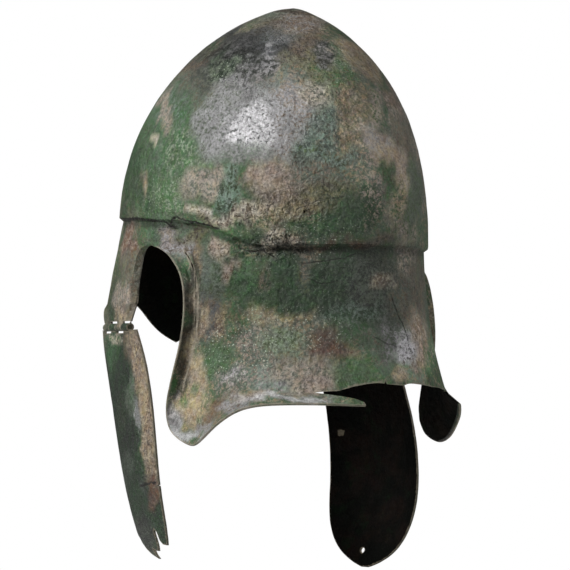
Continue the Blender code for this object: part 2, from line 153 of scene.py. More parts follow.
world = bpy.data.worlds.new("studio")
scene.world = world
world.use_nodes = True
skyNodes = world.node_tree.nodes
sky = skyNodes["Background"]
sky.inputs["Color"].default_value = (1, 1, 1, 1)
lightPath = skyNodes.new("ShaderNodeLightPath")
skyLevel = skyNodes.new("ShaderNodeMapRange")
skyLevel.inputs["To Min"].default_value = stagePlan["skyGrey"]
skyLevel.inputs["To Max"].default_value = 1.0
world.node_tree.links.new(lightPath.outputs["Is Camera Ray"], skyLevel.inputs["Value"])
world.node_tree.links.new(skyLevel.outputs["Result"], sky.inputs["Strength"])
print("stage and camera ready")


def tone(red, green, blue):
    # a screen colour as the shader's linear one
    return tuple(((c / 255 + 0.055) / 1.055) ** 2.4 if c > 10 else c / 255 / 12.92 for c in (red, green, blue))


palette = {
    "deepGreen": tone(38, 60, 36), "green": tone(64, 92, 60), "leafGreen": tone(72, 100, 64),
    "paleGreen": tone(132, 146, 122), "seaGreen": tone(112, 130, 117), "greyGreen": tone(92, 100, 88),
    "olive": tone(110, 106, 80), "tan": tone(158, 142, 120), "paleTan": tone(184, 174, 156),
    "pinkTan": tone(158, 144, 132), "brown": tone(108, 94, 80), "darkBrown": tone(58, 49, 40),
    "redBrown": tone(100, 72, 58), "ochre": tone(150, 134, 106), "steel": tone(142, 141, 142),
    # brightSteel: bare metal lightened as a painted highlight on rims and ridges
    "brightSteel": tone(180, 179, 180), "darkSteel": tone(84, 85, 88), "charcoal": tone(40, 41, 38),
    "lilac": tone(168, 165, 170),
}


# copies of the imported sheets, merged and made fine enough for dents and stains
def fineCopy(node, name, levels):
    bpy.ops.object.select_all(action="DESELECT")
    source = frame["nodes"][node]
    source.select_set(True)
    bpy.context.view_layer.objects.active = source
    bpy.ops.object.duplicate()
    piece = bpy.context.object
    piece.name = name
    piece.data.name = name
    piece.parent = None
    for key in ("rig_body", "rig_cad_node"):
        if key in piece:
            del piece[key]
    piece.data.materials.clear()
    bpy.ops.mesh.customdata_custom_splitnormals_clear()
    bpy.ops.object.mode_set(mode="EDIT")
    bpy.ops.mesh.select_mode(type="EDGE")
    bpy.ops.mesh.select_all(action="SELECT")
    bpy.ops.mesh.remove_doubles(threshold=0.00001)
    bpy.ops.mesh.tris_convert_to_quads(face_threshold=math.radians(30), shape_threshold=math.radians(50))
    bpy.ops.mesh.select_all(action="DESELECT")
    bpy.ops.mesh.edges_select_sharp(sharpness=math.radians(38))
    bpy.ops.transform.edge_crease(value=1.0)
    bpy.ops.object.mode_set(mode="OBJECT")
    finer = piece.modifiers.new("finer", "SUBSURF")
    finer.levels = levels
    finer.render_levels = levels
    bpy.ops.object.modifier_apply(modifier="finer")
    bpy.ops.object.shade_smooth_by_angle(angle=math.radians(50))
    return piece


def meshPlaces(piece):
    places = np.empty(len(piece.data.vertices) * 3, np.float32)
    piece.data.vertices.foreach_get("co", places)
    return places.reshape(-1, 3).astype(float)


def meshNormals(piece):
    normals = np.empty(len(piece.data.vertices) * 3, np.float32)
    piece.data.vertex_normals.foreach_get("vector", normals)
    return normals.reshape(-1, 3).astype(float)


def placeMesh(piece, places):
    low, high = (np.array(corner) for corner in cadBox)
    piece.data.vertices.foreach_set("co", np.clip(places, low, high).astype(np.float32).ravel())
    piece.data.update()


def smoothStep(values, low, high):
    share = np.clip((values - low) / (high - low), 0, 1)
    return share * share * (3 - 2 * share)


def noiseField(places, scale, octaves, shift=0.0):
    # one value a point, about -1 to 1
    move = Vector((shift, -shift, shift * 0.5))
    return np.array([noise.fractal(Vector(p) * scale + move, 0.9, 2.1, octaves) for p in places])


def noiseMoves(places, scale, shift=0.0):
    move = Vector((shift, -shift, shift * 0.5))
    return np.array([noise.noise_vector(Vector(p) * scale + move) for p in places])


def saveValue(piece, name, values):
    layer = piece.data.attributes.new(name, "FLOAT", "POINT")
    layer.data.foreach_set("value", values.astype(np.float32))


def saveColour(piece, name, colours):
    layer = piece.data.attributes.new(name, "FLOAT_COLOR", "POINT")
    full = np.ones((len(colours), 4), np.float32)
    full[:, :3] = colours
    layer.data.foreach_set("color", full.ravel())


def rimDistance(piece, reach):
    # how near each point lies to a cut edge of the sheet: 1 on it, 0 at reach
    mesh = piece.data
    facesOf = {}
    for face in mesh.polygons:
        for key in face.edge_keys:
            facesOf.setdefault(key, []).append(face.normal)
    rim = {end for key, sides in facesOf.items() if len(sides) == 2 and sides[0].angle(sides[1]) > 1.2 for end in key}
    tree = kdtree.KDTree(len(rim))
    for i in rim:
        tree.insert(mesh.vertices[i].co, i)
    tree.balance()
    away = np.array([tree.find(vertex.co)[2] for vertex in mesh.vertices])
    return 1 - np.clip(away / reach, 0, 1)


spotPlan = {"pixel": 0.0006, "depth": 0.012, "depthShare": 0.45, "fade": (0.62, 1.25)}


def spotShare(places, u, v, wide, high, strength=1.0):
    # how much of a listed stain each point gets
    pixel = spotPlan["pixel"]
    centre, normal = seenAt(u, v)
    offset = places - np.array(centre)
    across = offset @ np.array(acrossView) / (wide * pixel)
    up = offset @ np.array(upView) / (high * pixel)
    away = offset @ np.array(normal) / (spotPlan["depth"] + spotPlan["depthShare"] * max(wide, high) * pixel)
    return strength * (1 - smoothStep(np.sqrt(across**2 + up**2 + away**2), *spotPlan["fade"]))


# node helpers: sockets are wired, plain values are set
def addNode(tree, kind, inputs=None, **settings):
    node = tree.nodes.new(kind)
    for name, value in settings.items():
        setattr(node, name, value)
    for name, value in (inputs or {}).items():
        if isinstance(value, bpy.types.NodeSocket):
            tree.links.new(value, node.inputs[name])
        else:
            node.inputs[name].default_value = value
    return node


def sumUp(tree, operation, first, second=0.0, third=0.0):
    return addNode(tree, "ShaderNodeMath", {0: first, 1: second, 2: third}, operation=operation).outputs[0]


def rampBetween(tree, value, low, high, start=0.0, end=1.0):
    node = addNode(tree, "ShaderNodeMapRange", {"Value": value, "From Min": low, "From Max": high,
                                                "To Min": start, "To Max": end}, interpolation_type="SMOOTHSTEP")
    return node.outputs["Result"]


def mixTones(tree, share, first, second):
    return addNode(tree, "ShaderNodeMix", {0: share, 6: first, 7: second}, data_type="RGBA").outputs[2]


def noiseAt(tree, place, scale, detail=2.0, roughness=0.55):
    return addNode(tree, "ShaderNodeTexNoise", {"Vector": place, "Scale": scale, "Detail": detail,
                                                "Roughness": roughness}).outputs[0]


def painted(tree, name, colour=False):
    return addNode(tree, "ShaderNodeAttribute", attribute_name=name).outputs["Color" if colour else "Fac"]


def newGroup(name, inputs, outputs):
    group = bpy.data.node_groups.new(name, "ShaderNodeTree")
    for label, kind in inputs:
        group.interface.new_socket(label, in_out="INPUT", socket_type="NodeSocket" + kind)
    for label, kind in outputs:
        group.interface.new_socket(label, in_out="OUTPUT", socket_type="NodeSocket" + kind)
    return group, group.nodes.new("NodeGroupInput").outputs, group.nodes.new("NodeGroupOutput").inputs


# crust broken into grains: the share of ground that it covers is put in, and how clumped it lies
crustEdge, given, wanted = newGroup("crustEdge", [("Place", "Vector"), ("Cover", "Float"), ("Clump", "Float")],
                                    [("Mask", "Float")])
coarse = sumUp(crustEdge, "MULTIPLY_ADD", noiseAt(crustEdge, given["Place"], 210, 3, 0.6), 2.0, -1.0)
coarse = sumUp(crustEdge, "MULTIPLY", coarse, given["Clump"])
fine = sumUp(crustEdge, "MULTIPLY_ADD", noiseAt(crustEdge, given["Place"], 560, 4, 0.75), 2.4, -1.2)
level = sumUp(crustEdge, "ADD", given["Cover"], sumUp(crustEdge, "ADD", coarse, fine))
crustEdge.links.new(rampBetween(crustEdge, level, 0.30, 0.70), wanted["Mask"])

# grain of old metal: a colour goes in and comes out mottled
metalGrain, given, wanted = newGroup("metalGrain", [("Place", "Vector"), ("Color", "Color"), ("Strength", "Float")],
                                     [("Color", "Color")])
fine = noiseAt(metalGrain, given["Place"], 640, 4, 0.8)
patchy = noiseAt(metalGrain, given["Place"], 120, 3, 0.6)
cloudy = noiseAt(metalGrain, given["Place"], 260, 2)
swing = sumUp(metalGrain, "MULTIPLY", sumUp(metalGrain, "SUBTRACT", fine, 0.5), given["Strength"])
lift = sumUp(metalGrain, "ADD", swing, rampBetween(metalGrain, patchy, 0.25, 0.75, 0.82, 1.18))
turned = addNode(metalGrain, "ShaderNodeHueSaturation",
                 {"Hue": rampBetween(metalGrain, patchy, 0.3, 0.7, 0.485, 0.515), "Value": lift,
                  "Saturation": rampBetween(metalGrain, cloudy, 0.3, 0.7, 0.75, 1.2), "Color": given["Color"]})
metalGrain.links.new(turned.outputs["Color"], wanted["Color"])

# relief of old metal in millimetres
metalRelief, given, wanted = newGroup("metalRelief", [("Place", "Vector"), ("Crust", "Float"), ("Pits", "Float"),
                                                      ("Rubble", "Float")], [("Height", "Float")])
grit = sumUp(metalRelief, "MULTIPLY", noiseAt(metalRelief, given["Place"], 620, 4, 0.75), 1.5)
lumps = sumUp(metalRelief, "MULTIPLY_ADD", noiseAt(metalRelief, given["Place"], 240, 3, 0.6), 3.6, grit)
ridge = sumUp(metalRelief, "SUBTRACT", noiseAt(metalRelief, given["Place"], 150, 4, 0.6), 0.5)
ridge = sumUp(metalRelief, "ABSOLUTE", ridge)
ridge = sumUp(metalRelief, "MULTIPLY", ridge, given["Rubble"])
lumps = sumUp(metalRelief, "MULTIPLY_ADD", ridge, -20.0, lumps)
raised = sumUp(metalRelief, "MULTIPLY_ADD", given["Crust"], 0.10, lumps)
metalRelief.links.new(sumUp(metalRelief, "MULTIPLY_ADD", given["Pits"], -0.30, raised), wanted["Height"])

# small dark pits where they are painted
metalPits, given, wanted = newGroup("metalPits", [("Place", "Vector"), ("Amount", "Float")], [("Mask", "Float")])
dots = rampBetween(metalPits, noiseAt(metalPits, given["Place"], 560, 4, 0.75), 0.53, 0.65)
metalPits.links.new(sumUp(metalPits, "MULTIPLY", dots, given["Amount"]), wanted["Mask"])


def placeGroup(tree, group, inputs):
    return addNode(tree, "ShaderNodeGroup", inputs, node_tree=group).outputs[0]


def patinaFinish(name, plan):
    # painted bronze: ground, crust, flakes, pits, cracks, worn rim with painted edge highlight, and dark inner side
    # with painted shade
    finish = bpy.data.materials.new(name)
    finish.use_nodes = True
    tree = finish.node_tree
    shader = tree.nodes["Principled BSDF"]
    shader.inputs["IOR"].default_value = plan["ior"]
    place = addNode(tree, "ShaderNodeTexCoord").outputs["Object"]

    ground = placeGroup(tree, metalGrain, {"Place": place, "Color": painted(tree, "ground", True),
                                           "Strength": plan["groundGrain"]})
    crust = placeGroup(tree, metalGrain, {"Place": place, "Color": painted(tree, "crust", True),
                                          "Strength": plan["crustGrain"]})
    crustMask = placeGroup(tree, crustEdge, {"Place": place, "Cover": painted(tree, "cover"),
                                            "Clump": painted(tree, "clump")})
    colour = mixTones(tree, crustMask, ground, crust)

    # flakes: pale plates with dark seams
    bend = addNode(tree, "ShaderNodeTexNoise", {"Vector": place, "Scale": 300, "Detail": 3}).outputs["Color"]
    bend = addNode(tree, "ShaderNodeVectorMath", {0: bend, 1: (0.009, 0.009, 0.009), 2: place},
                   operation="MULTIPLY_ADD").outputs[0]
    plates = addNode(tree, "ShaderNodeTexVoronoi", {"Vector": bend, "Scale": plan["flakeScale"]},
                     feature="DISTANCE_TO_EDGE").outputs["Distance"]
    seams = rampBetween(tree, plates, 0.14, 0.0)
    seams = sumUp(tree, "MULTIPLY", seams, rampBetween(tree, noiseAt(tree, place, 170, 2), 0.38, 0.60))
    seams = sumUp(tree, "MULTIPLY", seams, painted(tree, "flakes"))
    colour = mixTones(tree, seams, colour, (*plan["seamTone"], 1))

    # light specks and dark pits
    glints = rampBetween(tree, noiseAt(tree, place, 1000, 1), *plan["speckLevels"])
    glints = sumUp(tree, "MULTIPLY", glints, painted(tree, "specks"))
    colour = mixTones(tree, glints, colour, (*plan["speckTone"], 1))
    pits = placeGroup(tree, metalPits, {"Place": place, "Amount": painted(tree, "pits")})
    colour = mixTones(tree, pits, colour, (*plan["pitTone"], 1))

    # worn rim and painted edge highlight: the cut edges are lightened
    rimWearAndHighlight = sumUp(tree, "MULTIPLY_ADD", noiseAt(tree, place, 300, 3), 0.9, -0.45)
    rimWearAndHighlight = rampBetween(tree, sumUp(tree, "ADD", painted(tree, "rim"), rimWearAndHighlight), 0.55, 0.85, 0.0, plan["rimStrength"])
    colour = mixTones(tree, rimWearAndHighlight, colour, (*plan["rimWearAndHighlightTone"], 1))

    # towards the dark inner side: dark patina and painted shade
    colour = mixTones(tree, painted(tree, "inside"), colour, (*plan["innerPatinaAndShade"], 1))

    # cracks: thin lines along a painted distance, in millimetres
    waver = sumUp(tree, "MULTIPLY_ADD", noiseAt(tree, place, 300, 3), 2.0, -1.0)
    line = sumUp(tree, "ABSOLUTE", sumUp(tree, "ADD", painted(tree, "crackAway"), waver))
    crack = sumUp(tree, "MULTIPLY", rampBetween(tree, line, plan["crackWidth"], 0.15), painted(tree, "crack"))
    colour = mixTones(tree, crack, colour, (*plan["crackTone"], 1))
    tree.links.new(colour, shader.inputs["Base Color"])

    shine = painted(tree, "shine")
    roughness = sumUp(tree, "MULTIPLY_ADD", shine, plan["shineRoughness"] - plan["groundRoughness"],
                      plan["groundRoughness"])
    roughness = sumUp(tree, "MULTIPLY_ADD", crustMask, plan["crustRoughness"], roughness)
    roughness = sumUp(tree, "SUBTRACT", roughness, 0.08)
    roughness = sumUp(tree, "MULTIPLY_ADD", noiseAt(tree, place, 240, 3), 0.16, roughness)
    tree.links.new(sumUp(tree, "MULTIPLY_ADD", pits, 0.3, roughness), shader.inputs["Roughness"])
    bare = sumUp(tree, "MULTIPLY_ADD", crustMask, -plan["metalShare"], plan["metalShare"])
    tree.links.new(sumUp(tree, "MULTIPLY", shine, bare), shader.inputs["Metallic"])

    relief = placeGroup(tree, metalRelief, {"Place": place, "Crust": crustMask, "Pits": pits,
                                            "Rubble": painted(tree, "rubble")})
    relief = sumUp(tree, "MULTIPLY", relief, sumUp(tree, "MULTIPLY_ADD", shine, -0.75, 1.0))
    relief = sumUp(tree, "MULTIPLY_ADD", crack, -0.8, relief)
    relief = sumUp(tree, "MULTIPLY_ADD", seams, -0.25, relief)
    bump = addNode(tree, "ShaderNodeBump", {"Height": relief, "Distance": 0.001, "Strength": plan["reliefStrength"]})
    tree.links.new(bump.outputs["Normal"], shader.inputs["Normal"])
    return finish


def innerFinish(name, plan):
    # dull dark inner side: green-black with brown clouds and a few worn specks; the near-black tones are dark patina
    # and painted shade
    finish = bpy.data.materials.new(name)
    finish.use_nodes = True
    tree = finish.node_tree
    shader = tree.nodes["Principled BSDF"]
    shader.inputs["Specular IOR Level"].default_value = plan["innerGloss"]
    place = addNode(tree, "ShaderNodeTexCoord").outputs["Object"]
    clouds = rampBetween(tree, noiseAt(tree, place, 38, 5, 0.65), 0.42, 0.62)
    colour = mixTones(tree, clouds, (*plan["innerPatinaAndShade"], 1), (*plan["innerBrown"], 1))
    green = rampBetween(tree, noiseAt(tree, place, 64, 4, 0.7), 0.54, 0.68, 0.0, 0.8)
    colour = mixTones(tree, green, colour, (*plan["innerGreen"], 1))
    colour = placeGroup(tree, metalGrain, {"Place": place, "Color": colour, "Strength": 3.0})
    # worn rim and specks, lighter, with a painted edge highlight on the rim
    rimWearAndHighlight = sumUp(tree, "MULTIPLY_ADD", noiseAt(tree, place, 300, 3), 0.9, -0.45)
    rimWearAndHighlight = sumUp(tree, "ADD", sumUp(tree, "MAXIMUM", painted(tree, "rim"), painted(tree, "specks")), rimWearAndHighlight)
    rimWearAndHighlight = rampBetween(tree, rimWearAndHighlight, 0.70, 0.95, 0.0, plan["rimStrength"])
    colour = mixTones(tree, rimWearAndHighlight, colour, (*plan["rimWearAndHighlightTone"], 1))
    tree.links.new(colour, shader.inputs["Base Color"])
    tree.links.new(rampBetween(tree, noiseAt(tree, place, 200, 3), 0.3, 0.7, 0.62, 0.82), shader.inputs["Roughness"])
    relief = placeGroup(tree, metalRelief, {"Place": place, "Crust": clouds, "Pits": green, "Rubble": 0.0})
    bump = addNode(tree, "ShaderNodeBump", {"Height": relief, "Distance": 0.001, "Strength": 0.7})
    tree.links.new(bump.outputs["Normal"], shader.inputs["Normal"])
    return finish


def dressSheet(piece, outer, inner, inside):
    # outer finish all over, inner finish on the faces that look inwards
    piece.data.materials.append(outer)
    piece.data.materials.append(inner)
    faces = piece.data.polygons
    picked = np.array([np.mean([inside[i] for i in face.vertices]) > 0.6 for face in faces], dtype=np.int32)
    faces.foreach_set("material_index", picked)


# random stains on every side; the listed ones go over them
stainKinds = [  # ground, crust, cover, shine, pits
    ("green", "deepGreen", 0.30, 0.25, 0.25), ("deepGreen", "green", 0.35, 0.25, 0.30),
    ("greyGreen", "tan", 0.42, 0.15, 0.30), ("brown", "tan", 0.50, 0.10, 0.40),
    ("green", "pinkTan", 0.45, 0.05, 0.30), ("steel", "darkSteel", 0.35, 0.80, 0.45),
    ("greyGreen", "seaGreen", 0.45, 0.10, 0.30), ("redBrown", "ochre", 0.40, 0.10, 0.35),
    ("leafGreen", "deepGreen", 0.30, 0.10, 0.15), ("greyGreen", "brown", 0.45, 0.20, 0.40),
    ("deepGreen", "charcoal", 0.40, 0.30, 0.40), ("olive", "paleTan", 0.35, 0.10, 0.25),
]


def newPaint(count, kind):
    groundName, crustName, cover, shine, pits = kind
    return {"ground": np.tile(palette[groundName], (count, 1)), "crust": np.tile(palette[crustName], (count, 1)),
            "cover": np.full(count, cover), "shine": np.full(count, shine), "pits": np.full(count, pits),
            "flakes": np.zeros(count), "specks": np.full(count, 0.12), "clump": np.full(count, 0.45)}


def brushOn(paint, share, kind):
    groundName, crustName, cover, shine, pits = kind
    wide = share[:, None]
    paint["ground"] = paint["ground"] * (1 - wide) + np.array(palette[groundName]) * wide
    paint["crust"] = paint["crust"] * (1 - wide) + np.array(palette[crustName]) * wide
    for name, value in (("cover", cover), ("shine", shine), ("pits", pits)):
        paint[name] = paint[name] * (1 - share) + value * share


def scatterStains(paint, places, plan):
    # stains of every kind at places drawn from the mesh, always the same ones
    draw = np.random.RandomState(plan["seed"])
    for i in range(plan["stains"]):
        centre = places[draw.randint(len(places))]
        size = draw.uniform(*plan["stainSize"])
        shape = np.array([size, size, size * draw.uniform(0.7, 1.6)])
        kind = stainKinds[draw.randint(len(stainKinds))]
        away = np.sqrt((((places - centre) / shape) ** 2).sum(axis=1))
        brushOn(paint, draw.uniform(0.45, 0.9) * (1 - smoothStep(away, 0.45, 1.2)), kind)


def wander(places, plan):
    # places moved about, so that stains get ragged edges
    (broadScale, broadSize), (fineScale, fineSize) = plan["wander"]
    broad = places + noiseMoves(places, broadScale) * broadSize
    return broad + noiseMoves(places, fineScale, 3.0) * fineSize


def paintByHand(paint, places, stains, strength, tonesAndPaintedLight):
    for u, v, wide, high, *kind in stains:
        brushOn(paint, spotShare(places, u, v, wide, high, strength), kind)
    # broad tone changes; on the skull these are partly painted shade and painted light
    for u, v, wide, high, factor in tonesAndPaintedLight:
        share = spotShare(places, u, v, wide, high)[:, None]
        for name in ("ground", "crust"):
            paint[name] = paint[name] * (1 + (factor - 1) * share)


def crackDistance(places, lines, reach):
    # signed distance in millimetres from the nearest crack, and how much of it shows
    nearest = np.full(len(places), 1.0)
    signed = np.full(len(places), 50.0)
    share = np.zeros(len(places))
    for line in lines:
        points = [np.array(seenAt(u, v)[0]) for u, v in line["pixels"]]
        for start, end in zip(points, points[1:]):
            run = end - start
            along = np.clip(((places - start) @ run) / (run @ run), 0, 1)
            offset = places - (start + along[:, None] * run)
            away = np.linalg.norm(offset, axis=1)
            side = np.cross(run / np.linalg.norm(run), np.array(towardCamera))
            closer = away < nearest
            nearest[closer] = away[closer]
            signed[closer] = (offset @ side)[closer] * 1000
            share[closer] = line["strength"] * (1 - smoothStep(away, reach * 0.5, reach))[closer]
    return signed, share


def storePaint(piece, paint):
    saveColour(piece, "ground", paint["ground"])
    saveColour(piece, "crust", paint["crust"])
    for name in ("cover", "clump", "shine", "pits", "flakes", "specks", "rubble", "inside", "rim", "crack",
                 "crackAway"):
        saveValue(piece, name, paint[name])


# skull
skullPlan = {
    "levels": 2, "seed": 41, "stains": 110, "stainSize": (0.008, 0.034), "base": ("green", "tan", 0.30, 0.15, 0.25),
    "swell": 0.00045, "dents": 0.00028, "rubble": 0.00576, "rubbleLevel": 0.35, "sink": 0.0002, "grooveDirtAndShade": 0.5,
    "wander": ((55, 0.008), (170, 0.0035)), "handStrength": 0.85, "crackReach": 0.0035, "rimReach": 0.0018,
    "wall": 0.0013, "bowlMiddle": 0.01, "insideFacing": (-0.45, -0.05),
    "hingePlace": (0.0809, 0.0439, 0.058), "hingeCalm": (0.012, 0.030),
    "ledgeOval": (0.0855, 0.11, 0.002), "ledgeTilt": 0.125, "ledgeStep": 0.0044, "grooveDarkening": (0.0032, 0.0022),
    "melted": (0.0036, 0.015), "meltedRise": 0.0025, "meltedSpot": (237, 236, 26, 18),
    "ledgeWave": ((0, 0), (50, 0.10), (75, 0.70), (95, 1.15), (115, 1.40), (124, 0.60), (131, -0.25), (139, -0.75),
                  (150, -0.30), (167, 0.15), (180, 0.25)),
    "ior": 1.45, "groundGrain": 2.6, "crustGrain": 2.8, "flakeScale": 210, "seamTone": tone(58, 66, 60),
    "speckLevels": (0.64, 0.72), "speckTone": tone(196, 206, 188), "pitTone": tone(26, 26, 22),
    # inner tones: dark patina made darker still as painted shade
    "rimStrength": 0.75, "rimWearAndHighlightTone": tone(150, 142, 126), "innerPatinaAndShade": tone(6, 8, 5), "innerBrown": tone(20, 15, 11),
    "innerGreen": tone(14, 24, 12), "innerGloss": 0.06,
    "crackWidth": 0.5, "crackTone": tone(20, 17, 13), "groundRoughness": 0.50, "shineRoughness": 0.31,
    "crustRoughness": 0.16, "metalShare": 0.42, "reliefStrength": 1.0,
}

